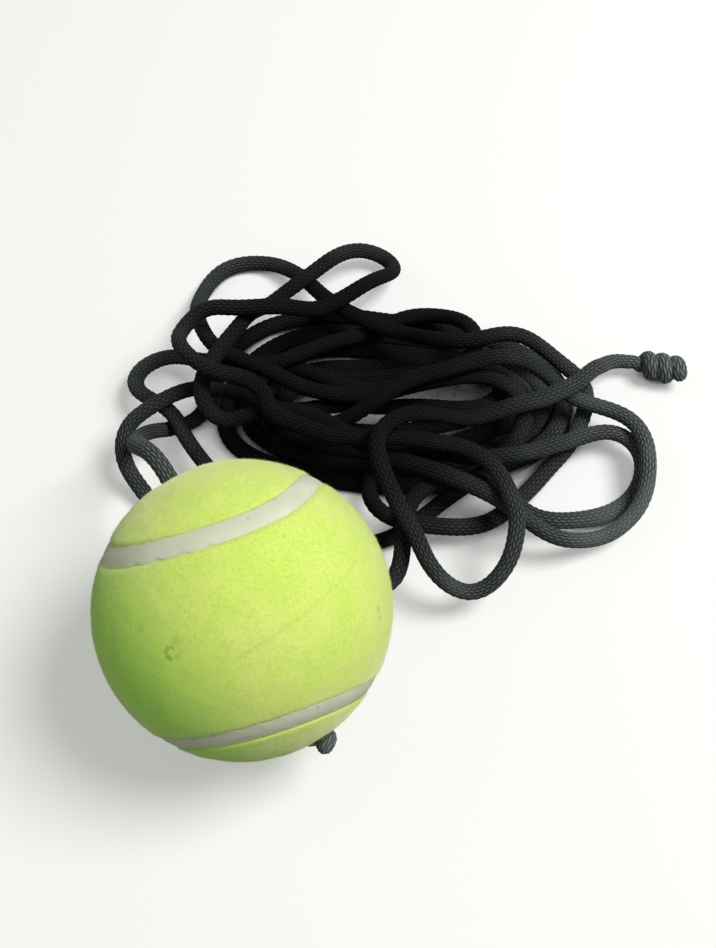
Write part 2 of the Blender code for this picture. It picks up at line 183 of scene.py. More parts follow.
glow = add_node(tree, "ShaderNodeMath", {0: in_the_open.outputs[0], 1: WHITE_SHARE}, operation="MULTIPLY")
seen = add_node(
    tree, "ShaderNodeMath", {0: rays.outputs["Is Camera Ray"], 1: glow.outputs[0]}, operation="MULTIPLY"
)
shader = add_node(
    tree, "ShaderNodeMixShader", {0: seen.outputs[0], 1: lit_paper.outputs[0], 2: white.outputs[0]}
)
add_node(tree, "ShaderNodeOutputMaterial", {"Surface": shader.outputs[0]})
floor_mesh.materials.append(paper)
print("camera lens", round(camera_data.lens, 2), "mm")

# %% [markdown]
# ## The route of the cord
# A soft cord dropped in a heap is one unbroken line, and what makes a heap look right is its order: each
# strand lies over those that fell before it. The route below is the one that the solids follow, in
# millimetres: a few points in space for the stretch that leaves the ball, then points on the floor in the
# order in which the cord fell. About a third of the points on the floor were worked out from pixels of the
# photograph, and the rest were set one by one. A cubic B-spline turns them all into a flowing line.

# %% Route points
BALL_RADIUS = 33.0 * MM
CENTRE = Vector((0, 0, 32.6 * MM))
CORD_RADIUS = 2.0 * MM
EXIT_HEADING = math.radians(123)
EXIT_RISE = math.radians(23)
EXIT_AXIS = Vector((
    math.cos(EXIT_HEADING) * math.cos(EXIT_RISE),
    math.sin(EXIT_HEADING) * math.cos(EXIT_RISE),
    math.sin(EXIT_RISE),
))
END_HEADING = math.radians(-8)
END_AXIS = Vector((math.cos(END_HEADING), math.sin(END_HEADING), 0))
END_PLACE = Vector((100 * MM, 82 * MM, 2.2 * CORD_RADIUS))
BORE_DEPTHS = (9.0, 4.5, 0.0, -4.0)
LEAD_ROUTE = [
    (-22, 32.5, 46), (-26, 37, 39), (-28.5, 43.5, 29), (-30, 50.5, 19), (-28.5, 57.5, 10),
]
HEAP_ROUTE = [
    (-23, 62), (-17, 66), (-15, 74), (-14, 82), (-9, 90), (-1, 96), (9, 99), (20, 100), (31, 98), (44, 96),
    (57, 93), (70, 88), (79, 81), (82, 72), (80, 63), (71, 54), (58, 49), (46, 46), (34, 45), (22, 46),
    (12, 48), (3, 51), (-6, 55), (-11, 61), (-11, 69), (-9, 77), (-4, 85), (4, 91), (13, 94), (23, 94),
    (34, 92), (45, 91), (56, 88), (67, 84), (75, 77), (77, 70), (72, 63), (65, 57), (56, 54), (46, 51),
    (34, 50), (22, 51), (12, 53), (3, 57), (-4, 62), (-6, 69), (-4, 76), (1, 82), (8, 87), (17, 89),
    (26, 88), (34, 87), (45, 86), (56, 83), (65, 79), (71, 74), (71, 68), (66, 64), (58, 60), (46, 56),
    (34, 55), (22, 56), (12, 58), (4, 62), (0, 67), (1, 74), (6, 79), (14, 82), (24, 82), (34, 82),
    (45, 81), (53, 79), (60, 78), (64, 75), (65, 71), (63, 67), (57, 64), (49, 62), (41, 61), (32, 60),
    (24, 60), (16, 61), (8, 63), (4, 69), (7, 75), (15, 78), (25, 77), (35, 76), (46, 76), (54, 77),
    (61, 77), (65, 71), (61, 65), (53, 63), (42, 65), (32, 66), (22, 66), (14, 64), (7, 63), (0, 65),
    (-3, 71), (0, 77), (7, 78), (14, 75), (21, 72), (29, 71), (37, 71), (45, 71), (52, 73), (56, 78),
    (57, 83), (55, 88), (51, 93), (46, 96), (40, 96), (35, 94), (30, 91), (25, 88), (19, 84), (12, 80),
    (5, 76), (-3, 75), (-11, 77), (-18, 80), (-24, 83), (-30, 83), (-35, 80), (-36, 74), (-33, 69),
    (-28, 66), (-23, 62), (-21, 57), (-17, 51), (-11, 45), (-3, 39), (6, 34), (15, 30), (24, 28), (32, 29),
    (40, 34), (48, 40), (57, 46), (65, 52), (69, 59), (67, 66), (60, 70), (51, 69), (42, 67), (34, 66),
    (26, 65), (17, 66), (8, 68), (0, 72), (-7, 75), (-13, 78), (-17, 85), (-20, 95), (-20, 105), (-17, 113),
    (-12, 117), (-6, 118), (0, 117), (5, 114), (11, 108), (16, 100), (21, 94), (27, 91), (32, 88), (38, 86),
    (43, 81), (48, 79), (53, 78), (59, 80), (66, 82), (73, 82), (80, 80), (85, 76), (87, 71), (86, 66),
    (84, 61), (81, 56), (76, 51), (72, 46), (67, 41), (63, 37), (58, 33), (52, 31), (44, 31), (36, 32),
    (30, 35), (27, 41), (29, 48), (35, 52), (44, 52), (53, 48), (62, 48), (71, 50), (77, 53), (82, 56),
    (87, 58), (92, 59), (97, 57), (100, 53), (100, 48), (98, 43), (93, 38), (85, 35), (77, 33), (70, 33),
    (64, 37), (59, 41), (52, 44), (46, 42), (40, 39), (37, 33), (36, 27), (36, 21), (34, 15), (28, 15),
    (20, 15), (8, 17), (-4, 20), (-16, 25), (-25, 34), (-30, 42), (-34, 46), (-36, 50), (-36, 54),
    (-34, 58), (-30, 61), (-26, 64), (-21, 67), (-14, 69), (-5, 66), (4, 61), (13, 57), (22, 57), (31, 61),
    (39, 66), (47, 68), (55, 71), (62, 73), (69, 73), (76, 71), (80, 68), (85, 66), (91, 64), (97, 61),
    (100, 55), (100, 48), (99, 41), (96, 35), (90, 30), (84, 28), (76, 26), (70, 28), (65, 32), (60, 36),
    (55, 38), (48, 41), (40, 44), (32, 47), (24, 51), (15, 57), (6, 59), (-2, 58), (-9, 56), (-14, 59),
    (-16, 65), (-13, 71), (-8, 79), (-5, 84), (-1, 96), (5, 101), (11, 106), (16, 111), (22, 117),
    (28, 120), (34, 118), (36, 112), (33, 106), (27, 100), (21, 95), (14, 91), (8, 88), (3, 86), (-3, 85),
    (-9, 85), (-14, 86), (-19, 84), (-22, 79), (-21, 74), (-17, 69), (-12, 66), (-8, 65), (-3, 65), (1, 62),
    (2, 58), (4, 54), (10, 53), (18, 49), (27, 49), (40, 50), (50, 50), (57, 46), (61, 39), (63, 33),
    (64, 28), (63, 23), (62, 19), (58, 14), (51, 12), (45, 14), (41, 19), (39, 25), (36, 30), (33, 35),
    (30, 40), (29, 46), (32, 51), (38, 54), (47, 55), (57, 57), (66, 60), (72, 61), (78, 65), (82, 68),
    (86, 72), (90, 76), (92, 79), (94, 81),
]


def on_bore(distance):
    """A point on the axis of the drilled hole, measured from the middle of the ball to the exit."""
    return CENTRE + EXIT_AXIS * distance


def smooth_curve(points, per_span=12):
    """A cubic B-spline drawn by its control points."""
    p = np.array(points, float)
    p = np.vstack([2 * p[0] - p[1], p, 2 * p[-1] - p[-2]])
    drawn = []
    for i in range(len(p) - 3):
        for k in range(per_span):
            u = k / per_span
            weights = np.array([
                (1 - u) ** 3,
                3 * u ** 3 - 6 * u ** 2 + 4,
                -3 * u ** 3 + 3 * u ** 2 + 3 * u + 1,
                u ** 3,
            ]) / 6
            drawn.append(weights @ p[i:i + 4])
    drawn.append((p[-3] + 4 * p[-2] + p[-1]) / 6)
    return np.array(drawn)


def length_along(points):
    """The length along a line at each of its points."""
    return np.concatenate([[0], np.cumsum(np.linalg.norm(np.diff(points, axis=0), axis=1))])


def even_steps(points, step):
    """The same line at even steps, with the length along it."""
    run = length_along(points)
    count = max(2, int(round(run[-1] / step)) + 1)
    lengths = np.linspace(0, run[-1], count)
    return np.stack([np.interp(lengths, run, points[:, k]) for k in range(3)], axis=1), lengths


def eased(value):
    """A number from 0 to 1 that starts and stops softly."""
    value = np.clip(value, 0.0, 1.0)
    return value * value * (3 - 2 * value)


# %% [markdown]
# ## Lay the cord down
# A strand rests on every earlier strand within one cord's thickness of it in plan. It can't drop straight
# down beside a crossing, so each crossing lifts it in a long low hump. Working this out again and again
# until nothing changes gives a heap in which no strand passes through another.

# %% Heights of the heap
LAY_GAP = 0.7 * MM
OWN_STRAND = 7 * CORD_RADIUS
BEARING_HEIGHT = 4.5 * CORD_RADIUS
HANGING_HEIGHT = 3 * CORD_RADIUS
HUMP_FLAT = 6 * MM
HUMP_FALL = 22 * MM
HUMP_SOFT = 3.5 * MM
LAY_ROUNDS = 80
ROUTE_STEP = 2 * MM
END_FALL = 18 * MM


def laid_heights(points, lengths):
    """Heights of a cord laid down in order, each strand on those before it."""
    lowest = points[:, 2].copy()
    need = 2 * CORD_RADIUS + LAY_GAP
    apart = ((points[:, None, :2] - points[None, :, :2]) ** 2).sum(axis=2)
    ahead = lengths[:, None] - lengths[None, :]
    under = (ahead > OWN_STRAND) & (apart < need ** 2) & (lowest[None, :] < BEARING_HEIGHT)
    lift = np.where(under, np.sqrt(np.maximum(need ** 2 - apart, 0)), -1.0)
    hump = np.cos(math.pi / 2 * np.clip((np.abs(ahead) - HUMP_FLAT) / HUMP_FALL, 0, 1)) ** 2
    soft = np.exp(-0.5 * (ahead / HUMP_SOFT) ** 2)
    soft /= soft.sum(axis=1)[:, None]
    heights = lowest.copy()
    for _ in range(LAY_ROUNDS):
        resting = np.maximum((lift + heights[None, :]).max(axis=1), CORD_RADIUS)
        humped = CORD_RADIUS + ((resting - CORD_RADIUS)[None, :] * hump).max(axis=1)
        raised = soft @ np.maximum(humped, lowest)
        raised = np.where(lowest > HANGING_HEIGHT, lowest, raised)
        if np.abs(raised - heights).max() < 1e-6:
            break
        heights = raised
    return heights


route = [tuple(on_bore(BALL_RADIUS - depth * MM)) for depth in BORE_DEPTHS]
route += [tuple(value * MM for value in point) for point in LEAD_ROUTE]
route += [(x * MM, y * MM, CORD_RADIUS) for x, y in HEAP_ROUTE]
route += [tuple(END_PLACE - END_AXIS * 3 * MM), tuple(END_PLACE)]
cord_line, cord_run = even_steps(smooth_curve(route), ROUTE_STEP)
cord_line[:, 2] = laid_heights(cord_line, cord_run)
to_end = eased((cord_run[-1] - cord_run) / END_FALL)
cord_line[:, 2] = END_PLACE.z + (cord_line[:, 2] - END_PLACE.z) * to_end
print("free cord", round(float(length_along(cord_line)[-1]), 3), "m long")
print("its highest point is", round(float(cord_line[:, 2].max()), 4), "m up")

# %% [markdown]
# ## Knots
# Both knots are the same cord wound about its own axis. The neck is pulled a little thin where it enters,
# the turns lie side by side as humps, and a short cut end sticks out. The ball's stopper has hardly more
# than one turn showing. The end knot has three humps. The neck starts a share of the cord's radius behind
# the coil. It lets go, the coil opens and the cord comes to its full thickness within parts of a turn, and
# the tip turns in and thins a little at the cut end.

# %% Knot lines
KNOT_SAMPLES = 64
NECK_BACK = 0.45
NECK_TURNS = 0.2
OPEN_TURNS = 0.34
FULL_TURNS = 0.4
TIP_ANGLE = 0.9
TIP_CLOSE = 0.25
TIP_RUN = 0.2
TIP_THIN = 0.06
SEAT_GAP = 0.3 * MM
CORE_RADIUS = 29.4 * MM
END_KNOT_RADIUS = 0.95 * CORD_RADIUS
END_KNOT_HEADING = math.radians(-14)
END_KNOT_AXIS = Vector((math.cos(END_KNOT_HEADING), math.sin(END_KNOT_HEADING), 0))
END_KNOT_ROLL = 200
STOP_RADIUS = 0.85 * CORD_RADIUS
STOP_ROLL = 60


def knot_line(turns, radius, pitch, coil, lead, stub, neck):
    """A knot along +X: centre points and cord radii from its squeezed neck to its cut end."""
    neck_back = NECK_BACK * radius
    u = np.arange(int(round(turns * KNOT_SAMPLES)) + 1) / KNOT_SAMPLES
    out = coil * eased(u / OPEN_TURNS)
    x = -neck_back * (1 - eased(u / NECK_TURNS)) + pitch * u
    points = np.stack([x, out * np.cos(2 * math.pi * u), out * np.sin(2 * math.pi * u)], axis=1)
    radii = radius * (neck + (1 - neck) * eased(u / FULL_TURNS))
    v = np.linspace(0, 1, 9)[:-1]
    entry = np.stack([-lead * (1 - v) - neck_back, 0 * v, 0 * v], axis=1)
    entry_radii = radius * (1 - (1 - neck) * eased(1.6 * v))
    w = np.linspace(0, 1, 13)[1:]
    angle = 2 * math.pi * turns + TIP_ANGLE * w
    reach = coil * (1 - TIP_CLOSE * w)
    x = pitch * turns + (TIP_RUN * pitch + stub) * w
    tip = np.stack([x, reach * np.cos(angle), reach * np.sin(angle)], axis=1)
    tip_radii = radius * (1 - TIP_THIN * w)
    return np.vstack([entry, points, tip]), np.concatenate([entry_radii, radii, tip_radii])


def placed(points, origin, axis, roll):
    """Carry a knot drawn along +X to where it sits, turned about its own length."""
    turn = axis.to_track_quat("X", "Z").to_matrix() @ Matrix.Rotation(math.radians(roll), 3, "X")
    return np.array([origin + turn @ Vector(p) for p in points])


knot_points, knot_radii = knot_line(
    turns=2.8, radius=END_KNOT_RADIUS, pitch=2.0 * END_KNOT_RADIUS, coil=1.0 * END_KNOT_RADIUS,
    lead=0.7 * END_KNOT_RADIUS, stub=0.35 * END_KNOT_RADIUS, neck=0.95,
)
end_origin = Vector(cord_line[-1]) + END_AXIS * (SEAT_GAP - knot_points[0, 0])
end_knot_line = placed(knot_points, end_origin, END_KNOT_AXIS, END_KNOT_ROLL)

stop_points, stop_radii = knot_line(
    turns=1.05, radius=STOP_RADIUS, pitch=2.3 * STOP_RADIUS, coil=1.05 * STOP_RADIUS,
    lead=0.6 * STOP_RADIUS, stub=0.2 * STOP_RADIUS, neck=0.85,
)
stop_origin = on_bore(-(CORE_RADIUS + SEAT_GAP + 0.4 * STOP_RADIUS))
stop_line = placed(stop_points, stop_origin, -EXIT_AXIS, STOP_ROLL)
print("knot lines of", len(end_knot_line), "and", len(stop_line), "points")

# %% [markdown]
# ## Braid
# The cord is a hollow braid of sixteen strands. Eight wind each way, and each passes over and under the
# others in turn, so the surface shows sixteen columns of short slanted stitches. A flat grid, rolled up
# round the line like a sleeve, has two rows of corners for each stitch. Every second corner along a row is
# a crown or a hollow of the braid, and the rest are the grooves between the columns. A soft cord isn't
# round either: it goes flat, rolls over slowly along its length, and lies flat on the floor.

# %% The braided sleeve
SIDES = 32
STITCH = 1.8 * MM
RING_STEP = STITCH / 2
CROWN = 0.08 * MM
GROOVE = 0.07 * MM


def unit(vectors):
    """The same directions, one unit long."""
    return vectors / np.linalg.norm(vectors, axis=1)[:, None]


def level_frames(line):
    """Sideways and upward directions across a line that runs along the floor."""
    ahead = unit(np.gradient(line, axis=0))
    across = unit(np.cross(ahead, (0, 0, 1)))
    return across, np.cross(across, ahead)


def carried_frames(line, across):
    """Directions across a winding line, carried along it without twist."""
    ahead = unit(np.gradient(line, axis=0))
    rows = []
    for direction in ahead:
        across = across - direction * (across @ direction)
        across = across / np.linalg.norm(across)
        rows.append(across)
    rows = np.array(rows)
    return rows, np.cross(rows, ahead)


def braided_sleeve(name, line, run, across, up, wide, high, roll, surface):
    """Roll a flat grid of stitches round a line, close its seam and both ends."""
    rings = len(line)
    bm = bmesh.new()
    bmesh.ops.create_grid(bm, x_segments=SIDES, y_segments=rings - 1, size=0.5)
    mesh = bpy.data.meshes.new(name)
    bm.to_mesh(mesh)
    column = np.tile(np.arange(SIDES + 1), rings)
    ring = np.repeat(np.arange(rings), SIDES + 1)
    angle = 2 * math.pi * column / SIDES
    a = across * np.cos(roll)[:, None] + up * np.sin(roll)[:, None]
    b = up * np.cos(roll)[:, None] - across * np.sin(roll)[:, None]
    cosine, sine = np.cos(angle), np.sin(angle)
    flat = a[ring] * (wide[ring] * cosine)[:, None] + b[ring] * (high[ring] * sine)[:, None]
    out = unit(a[ring] * (high[ring] * cosine)[:, None] + b[ring] * (wide[ring] * sine)[:, None])
    phase = run[ring] / STITCH + (column // 2 % 2) / 2
    bump = np.where(column % 2 == 0, CROWN * np.cos(2 * math.pi * phase), -GROOVE)
    place = line[ring] + flat + out * bump[:, None]
    place[:, 2] = np.maximum(place[:, 2], 0.0)
    mesh.vertices.foreach_set("co", place.astype(np.float32).ravel())
    corner = np.zeros(len(mesh.loops), np.int32)
    mesh.loops.foreach_get("vertex_index", corner)
    stitches = np.stack([(column + 1) / 2, run[ring] / STITCH], axis=1)
    mesh.uv_layers.new(name="braid").data.foreach_set("uv", stitches[corner].astype(np.float32).ravel())
    bm.clear()
    bm.from_mesh(mesh)
    bm.verts.ensure_lookup_table()
    joined = {bm.verts[r * (SIDES + 1) + SIDES]: bm.verts[r * (SIDES + 1)] for r in range(rings)}
    bmesh.ops.weld_verts(bm, targetmap=joined)
    bmesh.ops.holes_fill(bm, edges=[e for e in bm.edges if e.is_boundary], sides=0)
    bmesh.ops.recalc_face_normals(bm, faces=bm.faces[:])
    bm.to_mesh(mesh)
    bm.free()
    mesh.shade_smooth()
    mesh.materials.append(surface)
    made = bpy.data.objects.new(name, mesh)
    scene.collection.objects.link(made)
    print(name, "has", len(mesh.polygons), "faces")
    return made


# %% [markdown]
# ## Finish of the cord
# The braid is black spun polyester. It has a dull surface that turns grey where light grazes it. Its colour,
# sheen and gloss are drawn darker towards the middle of the heap and lighter and greyer towards the outer
# loops: painted shade inside the heap and painted light outside it. Grey dust shows on the outer loops and
# fades out towards the middle with the same painted shade. The sleeve's own UV map counts stitches, so the
# finish can draw what the mesh is too coarse for: the slant of each stitch, left and right in turn, and the
# fine yarns that run along it. The grooves between the stitches are drawn darker, as painted shade. Real
# yarns are about 0.1 mm thick. Four to a stitch are drawn, because finer ones would not show.

# %% Braid material
YARNS = 4
HEAP_MIDDLE = (24 * MM, 70 * MM, 8 * MM)
PAINTED_SHADE_WITHIN = 25 * MM
PAINTED_LIGHT_BEYOND = 85 * MM

braid, tree = new_material("black_polyester_braid")
uv = add_node(tree, "ShaderNodeUVMap", uv_map="braid")
split = add_node(tree, "ShaderNodeSeparateXYZ", {0: uv.outputs[0]})
cell = add_node(tree, "ShaderNodeMath", {0: split.outputs[0]}, operation="FLOOR")
odd = add_node(tree, "ShaderNodeMath", {0: cell.outputs[0], 1: 2.0}, operation="MODULO")
slant = add_node(tree, "ShaderNodeMath", {0: odd.outputs[0], 1: 0.5}, operation="SUBTRACT")
side = add_node(tree, "ShaderNodeMath", {0: split.outputs[0]}, operation="FRACT")
middle = add_node(tree, "ShaderNodeMath", {0: side.outputs[0], 1: 0.5}, operation="SUBTRACT")
shear = add_node(tree, "ShaderNodeMath", {0: middle.outputs[0], 1: slant.outputs[0]}, operation="MULTIPLY")
offset = add_node(
    tree, "ShaderNodeMath", {0: odd.outputs[0], 1: 0.5, 2: split.outputs[1]}, operation="MULTIPLY_ADD"
)
along = add_node(tree, "ShaderNodeMath", {0: offset.outputs[0], 1: shear.outputs[0]}, operation="ADD")
turned = add_node(tree, "ShaderNodeMath", {0: along.outputs[0], 1: 2 * math.pi}, operation="MULTIPLY")
crown = add_node(tree, "ShaderNodeMath", {0: turned.outputs[0]}, operation="COSINE")
yarn_turn = add_node(tree, "ShaderNodeMath", {0: turned.outputs[0], 1: YARNS}, operation="MULTIPLY")
yarn = add_node(tree, "ShaderNodeMath", {0: yarn_turn.outputs[0]}, operation="COSINE")
edge = add_node(tree, "ShaderNodeMath", {0: middle.outputs[0], 1: 2 * math.pi}, operation="MULTIPLY")
ridge = add_node(tree, "ShaderNodeMath", {0: edge.outputs[0]}, operation="COSINE")
stitch = add_node(tree, "ShaderNodeMath", {0: crown.outputs[0], 1: ridge.outputs[0]}, operation="ADD")
relief = add_node(
    tree, "ShaderNodeMath", {0: yarn.outputs[0], 1: 0.35, 2: stitch.outputs[0]}, operation="MULTIPLY_ADD"
)
place = add_node(tree, "ShaderNodeTexCoord")
lint = add_node(
    tree, "ShaderNodeTexNoise", {"Vector": place.outputs["Object"], "Scale": per_mm(0.5), "Detail": 3.0}
)
fade = add_node(
    tree, "ShaderNodeTexNoise", {"Vector": place.outputs["Object"], "Scale": per_mm(14), "Detail": 2.0}
)
height = add_node(
    tree, "ShaderNodeMath", {0: lint.outputs[0], 1: 0.8, 2: relief.outputs[0]}, operation="MULTIPLY_ADD"
)
bump = add_node(
    tree, "ShaderNodeBump", {"Strength": 0.55, "Distance": 0.10 * MM, "Height": height.outputs[0]}
)
# Painted shade: the grooves between the stitches are drawn darker than their crowns.
shade = add_node(
    tree, "ShaderNodeMapRange", {"Value": relief.outputs[0], "From Min": -1.4, "From Max": 2.2}
)
from_heap = add_node(
    tree, "ShaderNodeVectorMath", {0: place.outputs["Object"], 1: HEAP_MIDDLE}, operation="DISTANCE"
)
outward = add_node(
    tree, "ShaderNodeMapRange",
    {"Value": from_heap.outputs["Value"], "From Min": PAINTED_SHADE_WITHIN, "From Max": PAINTED_LIGHT_BEYOND},
)
# Painted light and shade: near 0 in the middle of the heap and 1 on the outer loops. It makes the braid's
# colour, sheen and gloss darker inside the heap and lighter outside it.
painted_heap_light = add_node(tree, "ShaderNodeMath", {0: outward.outputs[0], 1: 2.0}, operation="POWER")
fibre = add_node(
    tree, "ShaderNodeMix",
    {0: painted_heap_light.outputs[0], 6: hex_colour("#1A1C1C"), 7: hex_colour("#82888C")}, data_type="RGBA",
)
black = add_node(
    tree, "ShaderNodeMix",
    {0: shade.outputs[0], 6: hex_colour("#040405"), 7: fibre.outputs[2]}, data_type="RGBA",
)
# Grey dust, faded out towards the middle of the heap by the same painted shade.
dust_with_painted_shade = add_node(
    tree, "ShaderNodeMapRange",
    {"Value": fade.outputs[0], "From Min": 0.45, "From Max": 0.75, "To Max": painted_heap_light.outputs[0]},
)
colour = add_node(
    tree, "ShaderNodeMix",
    {0: dust_with_painted_shade.outputs[0], 6: black.outputs[2], 7: hex_colour("#5C6264")}, data_type="RGBA",
)
sheen_painted_light = add_node(
    tree, "ShaderNodeMath", {0: painted_heap_light.outputs[0], 1: 0.28, 2: 0.01}, operation="MULTIPLY_ADD"
)
gloss = add_node(
    tree, "ShaderNodeMath", {0: painted_heap_light.outputs[0], 1: 0.24, 2: 0.06}, operation="MULTIPLY_ADD"
)
shader = add_node(tree, "ShaderNodeBsdfPrincipled", {
    "Base Color": colour.outputs[2], "Roughness": 0.82, "Specular IOR Level": gloss.outputs[0],
    "Sheen Weight": sheen_painted_light.outputs[0], "Sheen Roughness": 0.45, "Sheen Tint": hex_colour("#B4B9BA"),
    "Normal": bump.outputs[0],
})
add_node(tree, "ShaderNodeOutputMaterial", {"Surface": shader.outputs[0]})

# %% [markdown]
# ## Cord, end knot and stopper
# The free cord and its end knot are one line, split where the neck begins, so the stitches run on from one
# piece to the other. The lowest laps of the heap carry the rest, so they are pressed flatter and lie a
# little lower. The stopper is a third piece: it carries the stretch of cord that runs through the ball,
# because that stretch moves with the knot when the cord is drawn out of the ball.

# %% Make the cord pieces
PRESSED_FROM = 70 * MM
PRESSED_TO = 900 * MM
PRESSED_FLAT = 0.20
KNOT_OVERLAP = 0.6 * MM
KNOT_STEP = 0.8 * RING_STEP
STOP_START = 9.3 * MM


def swollen(radii, run, share, start, reach):
    """Cord radii that grow by a share of themselves over a reach of the line."""
    return radii * (1 + share * eased((run - start) / reach))


def drawn_in(radii, run, share, reach):
    """Cord radii that shrink by a share of themselves at the cut end."""
    return radii * (1 - share * eased((run - run[-1] + reach) / reach) ** 2)


line, run = even_steps(cord_line, RING_STEP)
across, up = level_frames(line)
soft = eased((run - 12 * MM) / (20 * MM)) * eased((run[-1] - run) / (12 * MM))
pressed = eased((run - PRESSED_FROM) / (50 * MM)) * (1 - eased((run - PRESSED_TO) / (60 * MM)))
flatness = soft * (0.07 + 0.04 * np.sin(run / (23 * MM) + 1.0) + 0.03 * np.sin(run / (10.7 * MM)))
flatness += (PRESSED_FLAT - flatness) * pressed
roll = soft * (0.30 * np.sin(run / (31 * MM) + 0.4) + 0.25 * np.sin(run / (17.3 * MM) + 2.0)) * (1 - pressed)
laid = line - np.outer(PRESSED_FLAT * CORD_RADIUS * pressed, (0, 0, 1))
neck_ease = 1 - 0.05 * eased((run - run[-1] + 4 * MM) / (4 * MM))
wide = CORD_RADIUS * (1 + flatness) * neck_ease
high = CORD_RADIUS * (1 - flatness) * neck_ease
cord = braided_sleeve("braided_cord", laid, run, across, up, wide, high, roll, braid)

knot_all = np.vstack([cord_line[-1:] - np.array(END_AXIS) * KNOT_OVERLAP, end_knot_line])
radii_all = np.concatenate([knot_radii[:1], knot_radii])
knot_fine, fine_run = even_steps(knot_all, KNOT_STEP)
radii_fine = np.interp(fine_run, length_along(knot_all), radii_all)
radii_fine = swollen(radii_fine, fine_run, 0.20, 6 * MM, 9 * MM)
radii_fine = drawn_in(radii_fine, fine_run, 0.30, 1.4 * MM)
k_across, k_up = carried_frames(knot_fine, across[-1])
end_knot = braided_sleeve(
    "end_knot_braid", knot_fine, fine_run + run[-1] - KNOT_OVERLAP, k_across, k_up,
    radii_fine, radii_fine, np.zeros(len(fine_run)), braid,
)

stop_all = np.vstack([np.array(on_bore(BALL_RADIUS - STOP_START)), stop_line])
stop_all_radii = np.concatenate([[CORD_RADIUS], stop_radii])
stop_fine, stop_fine_run = even_steps(stop_all, KNOT_STEP)
stop_fine_radii = np.interp(stop_fine_run, length_along(stop_all), stop_all_radii)
stop_fine_radii = swollen(stop_fine_radii, stop_fine_run, 0.12, 54 * MM, 4 * MM)
stop_fine_radii = drawn_in(stop_fine_radii, stop_fine_run, 0.45, 1.2 * MM)
s_across, s_up = carried_frames(stop_fine, np.array((1.0, 0.0, 0.0)))
stopper = braided_sleeve(
    "stopper_knot_braid", stop_fine, stop_fine_run, s_across, s_up,
    stop_fine_radii, stop_fine_radii, np.zeros(len(stop_fine_run)), braid,
)

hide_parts("cord_lead", "cord_loops", "cord_tail")
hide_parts("end_knot")
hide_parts("stopper_knot", "cord_through")
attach(cord, "cord")
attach(end_knot, "cord")
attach(stopper, "stopper")

# %% [markdown]
# ## Where the seam runs
# The cover of the ball is two equal dog-bone panels. The seam between them is a closed wave that goes twice
# up and twice down round the ball. Knowing how far a point is from that wave lets the felt round off at its
# edge, keeps the nap out of the seam and gives the seam its crown.

# %% Seam curve
SEAM_HALF = 2.3 * MM
SEAM_POINTS = 1440
LOBE = 0.38
WAVE_HEIGHT = 0.78
BLOCK_SIZE = 2000
BALL_TURN = (
    Matrix.Rotation(math.radians(55), 3, "Z")
    @ Matrix.Rotation(math.radians(-38), 3, "Y")
    @ Matrix.Rotation(math.radians(-172), 3, "X")
)
t = np.linspace(0, 2 * math.pi, SEAM_POINTS, endpoint=False)
seam_wave = np.stack(
    [np.cos(t) + LOBE * np.cos(3 * t), np.sin(t) - LOBE * np.sin(3 * t), WAVE_HEIGHT * np.sin(2 * t)], axis=1
)
seam_wave = unit(seam_wave) @ np.array(BALL_TURN).T


def seam_distance(directions):
    """Distance over the ball from each direction to the middle of the seam, and the way there."""
    blocks = np.array_split(directions, len(directions) // BLOCK_SIZE + 1)
    nearest = seam_wave[np.concatenate([(block @ seam_wave.T).argmax(axis=1) for block in blocks])]
    level = np.clip((directions * nearest).sum(axis=1), -1, 1)
    way = nearest - directions * level[:, None]
    return np.arccos(level) * BALL_RADIUS, way / np.maximum(np.linalg.norm(way, axis=1), 1e-9)[:, None]


def refined_copy(node, cuts):
    """A merged copy of a solid's mesh, cut finer, as a bmesh."""
    bm = bmesh.new()
    bm.from_mesh(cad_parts[node].data)
    bmesh.ops.remove_doubles(bm, verts=bm.verts[:], dist=1e-6)
    bmesh.ops.subdivide_edges(bm, edges=bm.edges[:], cuts=cuts, use_grid_fill=True)
    bmesh.ops.triangulate(bm, faces=[f for f in bm.faces if len(f.verts) > 4])
    return bm


def piece_from(bm, name, surface):
    """Make a bmesh a smooth-shaded object at the origin."""
    bmesh.ops.recalc_face_normals(bm, faces=bm.faces[:])
    mesh = bpy.data.meshes.new(name)
    bm.to_mesh(mesh)
    bm.free()
    mesh.shade_smooth()
    mesh.materials.append(surface)
    made = bpy.data.objects.new(name, mesh)
    scene.collection.objects.link(made)
    print(name, "has", len(mesh.polygons), "faces")
    return made


# %% [markdown]
# ## Finish of the felt
# The cover is a napped felt of wool and nylon in a bright yellow green. On a used ball it is a little
# patchy: tufts catch the light, the valleys between them are deeper green, and there are a few dark scuffs
# and one faint crease where the cover was pressed in its mould. The crease is a shallow dent in the bump,
# drawn darker with painted shade. The lower side turned away from the key lamp is drawn a deeper green,
# which is painted shade. Wool has no gloss but a strong soft sheen. Each scuff below is a place in
# millimetres, a size and a depth. Most of these places, and the plane of the crease, were worked out from
# pixels of the photograph.

